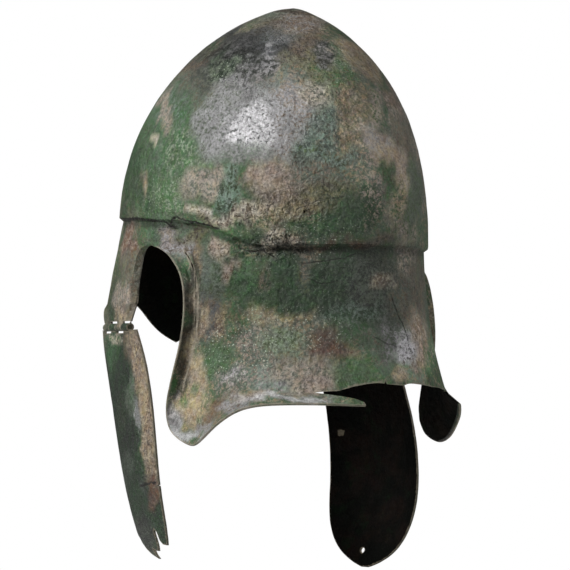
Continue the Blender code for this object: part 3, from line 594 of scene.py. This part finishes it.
# pixel place, half width and height in pixels, then ground, crust, cover, shine, pits
skullStains = [
    (165, 130, 55, 85, "green", "deepGreen", 0.35, 0.3, 0.2), (320, 110, 70, 90, "greyGreen", "tan", 0.4, 0.2, 0.3),
    (300, 290, 90, 40, "deepGreen", "green", 0.4, 0.1, 0.2), (270, 360, 80, 40, "greyGreen", "tan", 0.4, 0.1, 0.3),
    (400, 160, 40, 90, "greyGreen", "pinkTan", 0.5, 0.1, 0.2),
    (400, 310, 40, 60, "greyGreen", "charcoal", 0.3, 0.15, 0.2),
    # left slope
    (190, 85, 32, 26, "greyGreen", "brown", 0.40, 0.2, 0.3),
    (172, 108, 22, 24, "green", "seaGreen", 0.40, 0.2, 0.2),
    (205, 55, 30, 10, "darkBrown", "greyGreen", 0.45, 0.3, 0.3),
    (164, 110, 5, 26, "pinkTan", "greyGreen", 0.35, 0.1, 0.1),
    (153, 142, 4, 7, "paleTan", "pinkTan", 0.20, 0.1, 0.0), (140, 182, 6, 13, "tan", "green", 0.30, 0.1, 0.1),
    (132, 180, 10, 44, "deepGreen", "green", 0.30, 0.2, 0.1),
    (150, 200, 8, 30, "deepGreen", "leafGreen", 0.40, 0.1, 0.1),
    (182, 150, 24, 22, "green", "paleGreen", 0.42, 0.2, 0.1),
    (168, 196, 18, 20, "leafGreen", "paleGreen", 0.40, 0.1, 0.1),
    (203, 182, 22, 17, "pinkTan", "greyGreen", 0.45, 0.1, 0.1),
    (230, 186, 12, 24, "seaGreen", "deepGreen", 0.50, 0.1, 0.2),
    (197, 165, 12, 10, "leafGreen", "paleGreen", 0.45, 0.1, 0.1),
    (215, 128, 20, 30, "steel", "greyGreen", 0.50, 0.4, 0.3),
    # bare crown
    (252, 118, 38, 44, "steel", "darkSteel", 0.30, 0.6, 0.6),
    (228, 120, 28, 34, "steel", "greyGreen", 0.40, 0.4, 0.4), (292, 125, 26, 42, "steel", "brown", 0.36, 0.5, 0.5),
    (252, 120, 22, 30, "steel", "darkSteel", 0.24, 1.0, 0.8),
    (300, 100, 20, 20, "steel", "pinkTan", 0.45, 0.5, 0.3),
    (240, 152, 26, 12, "greyGreen", "steel", 0.50, 0.3, 0.3),
    (250, 38, 40, 12, "darkSteel", "charcoal", 0.50, 0.3, 0.5),
    (246, 60, 40, 22, "charcoal", "steel", 0.46, 0.4, 0.5),
    (216, 72, 26, 22, "charcoal", "greyGreen", 0.52, 0.3, 0.4),
    (222, 64, 16, 14, "deepGreen", "paleGreen", 0.46, 0.3, 0.4),
    (190, 66, 16, 8, "brown", "charcoal", 0.40, 0.3, 0.3),
    (262, 50, 22, 9, "charcoal", "darkSteel", 0.30, 0.4, 0.4),
    (236, 84, 20, 8, "charcoal", "steel", 0.60, 0.5, 0.5), (288, 50, 18, 18, "darkSteel", "steel", 0.42, 0.4, 0.4),
    (276, 68, 16, 10, "charcoal", "steel", 0.55, 0.4, 0.5),
    (293, 48, 10, 8, "charcoal", "darkSteel", 0.30, 0.3, 0.4), (300, 24, 28, 12, "brown", "steel", 0.42, 0.3, 0.3),
    (300, 10, 46, 6, "darkBrown", "brown", 0.35, 0.2, 0.4), (308, 44, 14, 12, "brown", "darkBrown", 0.40, 0.2, 0.3),
    (305, 60, 22, 10, "olive", "darkBrown", 0.40, 0.1, 0.3), (322, 70, 18, 14, "olive", "green", 0.45, 0.1, 0.2),
    (325, 56, 9, 10, "charcoal", "steel", 0.40, 0.2, 0.3),
    (343, 58, 9, 24, "leafGreen", "paleGreen", 0.42, 0.1, 0.2),
    (334, 82, 18, 14, "leafGreen", "olive", 0.40, 0.1, 0.3),
    (316, 92, 20, 16, "paleTan", "greyGreen", 0.48, 0.1, 0.3),
    (326, 124, 18, 26, "seaGreen", "greyGreen", 0.35, 0.2, 0.2), (350, 120, 14, 34, "olive", "tan", 0.50, 0.1, 0.3),
    (310, 152, 16, 10, "seaGreen", "leafGreen", 0.40, 0.1, 0.2),
    (338, 156, 18, 12, "seaGreen", "deepGreen", 0.48, 0.1, 0.2),
    (283, 186, 34, 18, "brown", "pinkTan", 0.45, 0.1, 0.3), (265, 176, 14, 11, "pinkTan", "brown", 0.40, 0.1, 0.2),
    (300, 160, 14, 8, "greyGreen", "darkBrown", 0.40, 0.1, 0.4),
    (320, 176, 30, 12, "greyGreen", "brown", 0.45, 0.1, 0.3),
    # slope right of the keel
    (362, 52, 20, 22, "tan", "olive", 0.35, 0.1, 0.1), (378, 72, 12, 14, "tan", "brown", 0.30, 0.1, 0.1),
    (349, 42, 16, 8, "tan", "ochre", 0.30, 0.1, 0.1), (388, 82, 8, 16, "green", "greyGreen", 0.40, 0.1, 0.1),
    (371, 91, 6, 8, "green", "greyGreen", 0.25, 0.1, 0.1), (395, 96, 10, 20, "brown", "pinkTan", 0.40, 0.1, 0.2),
    (388, 122, 6, 12, "green", "greyGreen", 0.25, 0.1, 0.1), (372, 112, 9, 20, "pinkTan", "green", 0.45, 0.1, 0.3),
    (405, 140, 10, 30, "brown", "greyGreen", 0.45, 0.15, 0.2),
    (378, 140, 14, 14, "pinkTan", "steel", 0.45, 0.1, 0.3), (385, 160, 14, 14, "tan", "pinkTan", 0.45, 0.1, 0.2),
    (386, 182, 8, 18, "green", "deepGreen", 0.45, 0.1, 0.2), (399, 176, 9, 20, "pinkTan", "tan", 0.40, 0.1, 0.2),
    (412, 196, 9, 42, "greyGreen", "green", 0.45, 0.1, 0.1), (396, 205, 10, 22, "tan", "green", 0.48, 0.1, 0.3),
    (332, 196, 26, 14, "olive", "deepGreen", 0.50, 0.1, 0.3),
    (352, 216, 28, 20, "deepGreen", "green", 0.35, 0.1, 0.2),
    (368, 205, 12, 24, "deepGreen", "pinkTan", 0.35, 0.1, 0.2),
    (405, 230, 16, 9, "pinkTan", "green", 0.45, 0.1, 0.2), (420, 232, 7, 9, "green", "greyGreen", 0.40, 0.1, 0.1),
    # rubble along the ledge
    # the bright steel row at 202, 210 and the pale tan row at 196, 210 are a painted highlight streak on a raised
    # ridge
    (202, 210, 16, 3, "brightSteel", "paleTan", 0.40, 0.3, 0.1), (288, 212, 30, 12, "tan", "olive", 0.45, 0.0, 0.4),
    (246, 214, 38, 7, "paleTan", "brown", 0.42, 0.0, 0.4), (270, 229, 20, 9, "tan", "green", 0.48, 0.0, 0.5),
    (196, 210, 16, 4, "paleTan", "olive", 0.35, 0.1, 0.2),
    (150, 217, 26, 5, "leafGreen", "deepGreen", 0.45, 0.1, 0.2),
    (205, 219, 16, 5, "olive", "darkBrown", 0.45, 0.0, 0.3),
    (254, 237, 14, 8, "deepGreen", "green", 0.30, 0.0, 0.3),
    (318, 233, 42, 6, "deepGreen", "green", 0.40, 0.0, 0.2),
    (283, 248, 22, 9, "darkBrown", "paleTan", 0.52, 0.0, 0.6),
    # dark brown lines along the groove under the ledge: stain and painted shadow
    (335, 247, 46, 4, "redBrown", "darkBrown", 0.50, 0.1, 0.3),
    (385, 246, 22, 4, "brown", "darkBrown", 0.45, 0.1, 0.2),
    (392, 252, 6, 10, "green", "greyGreen", 0.30, 0.1, 0.1),
    # band below the ledge
    (300, 290, 70, 32, "deepGreen", "green", 0.35, 0.1, 0.15),
    (255, 282, 22, 24, "leafGreen", "deepGreen", 0.50, 0.1, 0.1),
    (303, 262, 10, 22, "greyGreen", "tan", 0.50, 0.0, 0.4),
    (340, 262, 30, 10, "green", "greyGreen", 0.50, 0.0, 0.3),
    (212, 285, 20, 40, "greyGreen", "deepGreen", 0.50, 0.1, 0.3),
    (222, 250, 7, 12, "pinkTan", "brown", 0.40, 0.0, 0.3), (234, 274, 6, 9, "pinkTan", "redBrown", 0.35, 0.0, 0.2),
    (268, 275, 8, 12, "brown", "deepGreen", 0.45, 0.0, 0.2), (178, 246, 20, 12, "lilac", "brown", 0.52, 0.1, 0.4),
    (172, 232, 12, 10, "pinkTan", "lilac", 0.45, 0.1, 0.4), (198, 238, 16, 9, "olive", "darkBrown", 0.45, 0.0, 0.3),
    (198, 262, 9, 16, "brown", "ochre", 0.42, 0.0, 0.3), (207, 272, 9, 14, "greyGreen", "seaGreen", 0.42, 0.1, 0.3),
    (375, 290, 34, 38, "charcoal", "greyGreen", 0.60, 0.2, 0.2),
    (385, 285, 8, 8, "brown", "paleTan", 0.40, 0.0, 0.2), (404, 280, 12, 34, "greyGreen", "brown", 0.42, 0.1, 0.2),
    (404, 262, 10, 14, "pinkTan", "greyGreen", 0.50, 0.1, 0.2),
    (416, 300, 7, 50, "brown", "greyGreen", 0.45, 0.1, 0.2),
    (400, 338, 22, 18, "greyGreen", "lilac", 0.48, 0.2, 0.5),
    (408, 347, 12, 12, "lilac", "charcoal", 0.36, 0.4, 0.6), (422, 345, 8, 24, "brown", "pinkTan", 0.40, 0.1, 0.1),
    (345, 315, 40, 14, "deepGreen", "seaGreen", 0.42, 0.0, 0.3),
    # neck guard
    (280, 316, 44, 9, "olive", "ochre", 0.50, 0.0, 0.3), (262, 322, 14, 8, "ochre", "paleGreen", 0.40, 0.0, 0.3),
    (303, 328, 30, 10, "greyGreen", "tan", 0.45, 0.0, 0.3), (228, 318, 14, 22, "green", "olive", 0.45, 0.0, 0.2),
    (216, 330, 8, 14, "redBrown", "ochre", 0.50, 0.0, 0.2),
    (250, 340, 18, 14, "greyGreen", "pinkTan", 0.48, 0.0, 0.3),
    (282, 345, 22, 12, "paleGreen", "green", 0.48, 0.0, 0.3),
    (335, 345, 22, 14, "redBrown", "darkBrown", 0.45, 0.0, 0.3),
    (318, 352, 12, 8, "redBrown", "brown", 0.40, 0.0, 0.3), (352, 352, 12, 5, "ochre", "redBrown", 0.40, 0.0, 0.1),
    (350, 330, 18, 8, "green", "greyGreen", 0.40, 0.0, 0.2),
    (355, 374, 28, 16, "leafGreen", "green", 0.40, 0.0, 0.1),
    (218, 358, 22, 11, "leafGreen", "green", 0.35, 0.0, 0.1),
    (205, 370, 10, 8, "leafGreen", "deepGreen", 0.45, 0.0, 0.2),
    (300, 376, 38, 16, "pinkTan", "greyGreen", 0.45, 0.1, 0.3),
    (264, 370, 14, 12, "seaGreen", "pinkTan", 0.45, 0.1, 0.2),
    (236, 378, 16, 8, "greyGreen", "lilac", 0.50, 0.1, 0.4), (268, 386, 18, 6, "seaGreen", "steel", 0.48, 0.2, 0.2),
    (320, 384, 20, 6, "pinkTan", "brown", 0.40, 0.1, 0.2), (398, 372, 12, 9, "tan", "greyGreen", 0.40, 0.1, 0.2),
    (418, 374, 14, 10, "greyGreen", "brown", 0.40, 0.1, 0.2), (250, 398, 20, 6, "pinkTan", "brown", 0.45, 0.2, 0.2),
    # ear edge and left point
    (195, 330, 6, 40, "tan", "brown", 0.35, 0.0, 0.2), (206, 322, 6, 28, "darkSteel", "brown", 0.40, 0.2, 0.1),
    (193, 375, 12, 26, "tan", "ochre", 0.35, 0.0, 0.1), (194, 410, 20, 20, "ochre", "tan", 0.42, 0.0, 0.2),
    (190, 392, 3, 5, "leafGreen", "green", 0.30, 0.0, 0.0), (184, 405, 4, 4, "leafGreen", "green", 0.30, 0.0, 0.0),
    (214, 395, 6, 5, "leafGreen", "deepGreen", 0.35, 0.0, 0.1), (205, 404, 7, 6, "green", "ochre", 0.45, 0.0, 0.1),
    (218, 404, 14, 10, "redBrown", "brown", 0.40, 0.0, 0.2), (212, 418, 12, 8, "brown", "redBrown", 0.40, 0.0, 0.2),
    (199, 420, 6, 5, "paleGreen", "green", 0.40, 0.0, 0.1), (174, 425, 7, 20, "steel", "lilac", 0.35, 0.6, 0.1),
    # the bright steel rows on the lobe tip and the neck rim are bare metal with a painted highlight
    (186, 438, 16, 7, "brightSteel", "steel", 0.30, 0.8, 0.1), (205, 432, 12, 6, "steel", "brown", 0.35, 0.5, 0.1),
    (280, 400, 50, 4, "brightSteel", "steel", 0.30, 0.7, 0.1), (234, 408, 20, 5, "steel", "brown", 0.35, 0.5, 0.2),
    (342, 398, 14, 5, "paleGreen", "green", 0.40, 0.0, 0.1),
    # dark brown on the ear flange: patina with painted shade where the flange turns away from the light
    (188, 275, 4, 22, "darkBrown", "charcoal", 0.40, 0.0, 0.3),
    (187, 315, 4, 34, "darkBrown", "brown", 0.35, 0.0, 0.3),
    (184, 345, 5, 36, "darkBrown", "brown", 0.35, 0.0, 0.3),
    (178, 376, 4, 26, "darkBrown", "brown", 0.35, 0.0, 0.2),
    (173, 400, 3, 22, "darkBrown", "darkSteel", 0.35, 0.2, 0.2), (432, 300, 4, 44, "brown", "tan", 0.40, 0.1, 0.3),
    # strap in front of the ear
    (133, 262, 13, 55, "brown", "greyGreen", 0.48, 0.1, 0.2),
    (131, 236, 8, 16, "redBrown", "pinkTan", 0.40, 0.1, 0.1), (140, 240, 8, 16, "green", "brown", 0.40, 0.1, 0.1),
    (121, 300, 8, 24, "pinkTan", "greyGreen", 0.45, 0.2, 0.1), (122, 316, 12, 8, "tan", "brown", 0.35, 0.0, 0.2),
]
# broad darker or lighter areas: place, size, factor; partly real tone, partly painted shade under the ledge and on
# the ear flange, and painted light on the right of the crown and the neck guard
skullTonesAndPaintedLight = [(330, 253, 66, 16, 0.68), (225, 48, 36, 18, 0.62), (300, 285, 80, 30, 0.88), (250, 28, 40, 10, 0.7),
               (416, 352, 24, 34, 2.3), (232, 55, 36, 26, 0.62), (228, 248, 14, 10, 1.3), (190, 286, 8, 24, 0.75),
               (266, 210, 22, 9, 1.15), (385, 150, 30, 66, 1.45), (205, 300, 12, 50, 0.85),
               (380, 365, 26, 14, 1.35), (190, 400, 18, 26, 1.3), (190, 247, 24, 10, 0.8), (225, 290, 30, 30, 0.88),
               (300, 288, 70, 24, 0.78), (255, 345, 60, 24, 0.9), (190, 90, 20, 20, 0.85), (225, 216, 20, 8, 1.15),
               (335, 320, 40, 20, 0.85), (230, 320, 30, 20, 0.85)]
skullShine = [(252, 120, 26, 36, 0.95), (250, 116, 44, 50, 0.55)]
skullClumps = [(250, 60, 50, 26, 1.0), (275, 215, 60, 14, 0.8), (275, 245, 34, 10, 1.0), (405, 345, 16, 18, 1.0),
               (330, 140, 24, 26, 0.8)]
skullRubble = [(190, 216, 26, 9, 0.6), (255, 214, 45, 14, 0.9), (295, 208, 34, 16, 0.9), (275, 246, 34, 12, 1.0),
               (170, 236, 22, 10, 0.6), (320, 196, 34, 16, 0.5), (350, 265, 40, 14, 0.25), (404, 342, 18, 20, 0.6),
               (235, 250, 20, 14, 0.5), (390, 200, 20, 30, 0.3), (345, 120, 20, 40, 0.3)]
skullCracks = [
    {"pixels": [(124, 220), (140, 219), (156, 221), (166, 222), (172, 226)], "strength": 1.0},
    {"pixels": [(170, 225), (176, 216), (181, 219), (190, 222), (204, 224), (216, 228)], "strength": 1.0},
    {"pixels": [(306, 178), (322, 170), (340, 166), (352, 165)], "strength": 0.35},
    {"pixels": [(300, 208), (312, 203), (326, 199), (340, 197)], "strength": 0.6},
    {"pixels": [(305, 263), (325, 261), (345, 258), (352, 255)], "strength": 0.7},
    {"pixels": [(312, 280), (322, 284), (335, 282)], "strength": 0.7},
    {"pixels": [(243, 249), (252, 252), (262, 250), (272, 256)], "strength": 0.9},
    {"pixels": [(393, 300), (397, 312), (402, 324), (408, 338)], "strength": 0.8},
    {"pixels": [(376, 338), (386, 343), (394, 346)], "strength": 0.7},
]
skullFlakes = [(326, 128, 22, 30, 1.0), (312, 154, 18, 12, 1.0), (340, 156, 16, 14, 0.8), (350, 118, 12, 30, 0.5)]
skullSpecks = [(240, 355, 40, 30, 0.8), (290, 330, 60, 25, 0.7), (236, 380, 14, 7, 1.0), (408, 346, 12, 16, 1.0),
               (345, 62, 10, 26, 0.9), (230, 70, 24, 18, 0.7), (160, 190, 30, 30, 0.5), (300, 240, 60, 30, 0.5)]

skull = fineCopy("skull", "skullSheet", skullPlan["levels"])
places = meshPlaces(skull)
normals = meshNormals(skull)
paint = newPaint(len(places), skullPlan["base"])
scatterStains(paint, places, skullPlan)
uneven = wander(places, skullPlan)
paintByHand(paint, uneven, skullStains, skullPlan["handStrength"], skullTonesAndPaintedLight)
for name, rows in (("flakes", skullFlakes), ("specks", skullSpecks), ("clump", skullClumps), ("shine", skullShine)):
    for row in rows:
        paint[name] = np.maximum(paint[name], spotShare(uneven, *row))
paint["crackAway"], paint["crack"] = crackDistance(places, skullCracks, skullPlan["crackReach"])

# dirt and painted shade in the groove under the ledge
halfWide, halfLong, ledgeMiddle = skullPlan["ledgeOval"]
angle = np.degrees(np.arctan2(np.abs(places[:, 0]) / halfWide, -(places[:, 1] + ledgeMiddle) / halfLong))
wave = skullPlan["ledgeStep"] * np.interp(angle, *zip(*skullPlan["ledgeWave"]))
aboveLedge = places[:, 2] + skullPlan["ledgeTilt"] * places[:, 1] - wave
grooveBelow, grooveWide = skullPlan["grooveDarkening"]
grooveDarkening = np.exp(-((aboveLedge + grooveBelow) / grooveWide) ** 2)
for name in ("ground", "crust"):
    paint[name] = paint[name] * (1 - skullPlan["grooveDirtAndShade"] * grooveDarkening[:, None])

# inner side: faces that look at the middle of the bowl
middle = np.column_stack([np.zeros(len(places)), np.full(len(places), skullPlan["bowlMiddle"]),
                          np.minimum(places[:, 2], 0.0)])
outward = places - middle
outward /= np.linalg.norm(outward, axis=1)[:, None]
facing = (outward * normals).sum(axis=1)
paint["inside"] = 1 - smoothStep(facing, *skullPlan["insideFacing"])
paint["rim"] = rimDistance(skull, skullPlan["rimReach"])
paint["rubble"] = np.zeros(len(places))
for row in skullRubble:
    paint["rubble"] = np.maximum(paint["rubble"], spotShare(places, *row))
storePaint(skull, paint)
print("skull painted:", len(places), "points")

# sheet moves: uneven beating and dents, both walls alike
outerPlaces = places + outward * skullPlan["wall"] * (facing < 0)[:, None]
hingeAway = np.linalg.norm(np.abs(places) - np.array(skullPlan["hingePlace"]), axis=1)
calm = smoothStep(hingeAway, *skullPlan["hingeCalm"])  # no dents at the knuckles
shift = noiseField(outerPlaces, 26, 1) * skullPlan["swell"]
shift += noiseField(outerPlaces, 75, 2, 5.0) * skullPlan["dents"]
rubble = np.abs(noiseField(outerPlaces * [1, 1, 2.0], 95, 3, 9.0))
shift += paint["rubble"] * (skullPlan["rubbleLevel"] - rubble) * skullPlan["rubble"]
foot, fade = skullPlan["melted"]  # where the step under the ledge has melted into the band
melted = np.where(aboveLedge > -foot, np.clip(-aboveLedge / foot, 0, 1), 1 - smoothStep(-aboveLedge, foot, fade))
shift += skullPlan["meltedRise"] * melted * spotShare(places, *skullPlan["meltedSpot"])
placeMesh(skull, places + outward * ((shift - skullPlan["sink"]) * calm)[:, None])
dressSheet(skull, patinaFinish("skullPatina", skullPlan), innerFinish("skullInside", skullPlan), paint["inside"])
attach(skull, "helmet_bowl")
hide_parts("skull")
print("skull shaped")


# cheekpieces: near one seen from outside, far one from inside
cheekPlan = {
    "levels": 3, "seed": 7, "stains": 36, "stainSize": (0.006, 0.024),
    "base": ("deepGreen", "charcoal", 0.40, 0.15, 0.3),
    "swell": 0.00030, "dents": 0.00022, "hingeCalm": (0.010, 0.024), "insideFacing": (-0.50, -0.10),
    "wander": ((70, 0.003), (220, 0.0016)), "handStrength": 0.92, "crackReach": 0.003, "rimReach": 0.0022,
    "ior": 1.45, "groundGrain": 2.4, "crustGrain": 2.6, "flakeScale": 260, "seamTone": tone(40, 44, 38),
    "speckLevels": (0.64, 0.72), "speckTone": tone(180, 188, 172), "pitTone": tone(22, 22, 18),
    # inner tones: dark patina made darker still as painted shade
    "rimStrength": 0.8, "rimWearAndHighlightTone": tone(120, 112, 96), "innerPatinaAndShade": tone(5, 6, 4), "innerBrown": tone(17, 11, 8),
    "innerGreen": tone(9, 18, 8), "innerGloss": 0.06,
    "crackWidth": 0.5, "crackTone": tone(18, 15, 12), "groundRoughness": 0.48, "shineRoughness": 0.34,
    "crustRoughness": 0.18, "metalShare": 0.45, "reliefStrength": 1.0,
}
cheekStains = [
    (125, 400, 24, 110, "deepGreen", "charcoal", 0.40, 0.2, 0.3),
    (112, 350, 8, 24, "green", "deepGreen", 0.40, 0.1, 0.1), (131, 345, 8, 18, "brown", "tan", 0.45, 0.1, 0.2),
    (137, 360, 6, 30, "tan", "brown", 0.42, 0.0, 0.3), (144, 395, 6, 36, "tan", "ochre", 0.45, 0.0, 0.3),
    (149, 440, 6, 44, "tan", "brown", 0.45, 0.0, 0.4), (153, 470, 5, 20, "brown", "tan", 0.45, 0.0, 0.3),
    (137, 412, 4, 16, "steel", "greyGreen", 0.40, 0.8, 0.1),
    (131, 395, 5, 24, "greyGreen", "green", 0.40, 0.4, 0.1),
    (128, 440, 6, 30, "charcoal", "deepGreen", 0.40, 0.3, 0.2),
    (127, 478, 8, 30, "greyGreen", "deepGreen", 0.45, 0.2, 0.2),
    (135, 500, 9, 24, "deepGreen", "green", 0.35, 0.1, 0.2), (152, 495, 6, 18, "redBrown", "brown", 0.45, 0.0, 0.3),
    (144, 535, 12, 20, "charcoal", "greyGreen", 0.42, 0.2, 0.2),
    (116, 338, 9, 6, "paleTan", "green", 0.45, 0.0, 0.2),
]
cheekShades = [(120, 420, 14, 110, 0.72), (138, 515, 20, 50, 0.62), (126, 470, 10, 30, 0.8)]
cheekCracks = [{"pixels": [(141, 486), (148, 484), (154, 483)], "strength": 0.9}]
farCheekSpecks = [(341, 432, 5, 6, 1.0), (350, 505, 8, 10, 0.35)]


def dressCheek(node, name, body, side, stains, tonesAndPaintedLight, cracks, specks):
    cheek = fineCopy(node, name, cheekPlan["levels"])
    places = meshPlaces(cheek)
    normals = meshNormals(cheek)
    paint = newPaint(len(places), cheekPlan["base"])
    scatterStains(paint, places, {**cheekPlan, "seed": cheekPlan["seed"] + (side > 0)})
    paintByHand(paint, wander(places, cheekPlan), stains, cheekPlan["handStrength"], tonesAndPaintedLight)
    for row in specks:
        paint["specks"] = np.maximum(paint["specks"], spotShare(places, *row))
    paint["crackAway"], paint["crack"] = crackDistance(places, cracks, cheekPlan["crackReach"])
    paint["rubble"] = np.zeros(len(places))
    outwardShare = normals[:, 0] * side
    paint["inside"] = 1 - smoothStep(outwardShare, *cheekPlan["insideFacing"])
    paint["rim"] = rimDistance(cheek, cheekPlan["rimReach"])
    storePaint(cheek, paint)
    calm = smoothStep(places[:, 2].max() - places[:, 2], *cheekPlan["hingeCalm"])
    shift = noiseField(places, 30, 1, side) * cheekPlan["swell"]
    shift += noiseField(places, 90, 2, side + 4) * cheekPlan["dents"]
    moves = np.zeros_like(places)
    moves[:, 0] = -side * np.abs(shift) * calm
    placeMesh(cheek, places + moves)
    dressSheet(cheek, cheekFinish, cheekInside, paint["inside"])
    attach(cheek, body)
    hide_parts(node)
    print(name, "dressed:", len(places), "points")


cheekFinish = patinaFinish("cheekPatina", cheekPlan)
cheekInside = innerFinish("cheekInside", cheekPlan)
dressCheek("cheekpiece_left", "leftCheekSheet", "left_cheek", 1, cheekStains, cheekShades, cheekCracks, [])
dressCheek("cheekpiece_right", "rightCheekSheet", "right_cheek", -1, [], [], [], farCheekSpecks)

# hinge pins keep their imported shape
pinPlan = {"roughness": 0.55, "core": tone(92, 80, 62), "green": tone(74, 92, 66)}
pinFinish = bpy.data.materials.new("pinPatina")
pinFinish.use_nodes = True
pinTree = pinFinish.node_tree
pinShader = pinTree.nodes["Principled BSDF"]
pinPlace = addNode(pinTree, "ShaderNodeTexCoord").outputs["Object"]
pinMask = placeGroup(pinTree, crustEdge, {"Place": pinPlace, "Cover": 0.45})
pinTone = mixTones(pinTree, pinMask, (*pinPlan["core"], 1), (*pinPlan["green"], 1))
pinTone = placeGroup(pinTree, metalGrain, {"Place": pinPlace, "Color": pinTone, "Strength": 1.6})
pinTree.links.new(pinTone, pinShader.inputs["Base Color"])
pinTree.links.new(rampBetween(pinTree, pinMask, 0, 1, pinPlan["roughness"] - 0.1, pinPlan["roughness"] + 0.15),
                  pinShader.inputs["Roughness"])
pinRelief = placeGroup(pinTree, metalRelief, {"Place": pinPlace, "Crust": pinMask, "Pits": 0.0, "Rubble": 0.0})
pinBump = addNode(pinTree, "ShaderNodeBump", {"Height": pinRelief, "Distance": 0.001, "Strength": 0.7})
pinTree.links.new(pinBump.outputs["Normal"], pinShader.inputs["Normal"])
for node in ("hinge_pin_left", "hinge_pin_right"):
    frame["nodes"][node].data.materials.clear()
    frame["nodes"][node].data.materials.append(pinFinish)
print("pins finished")
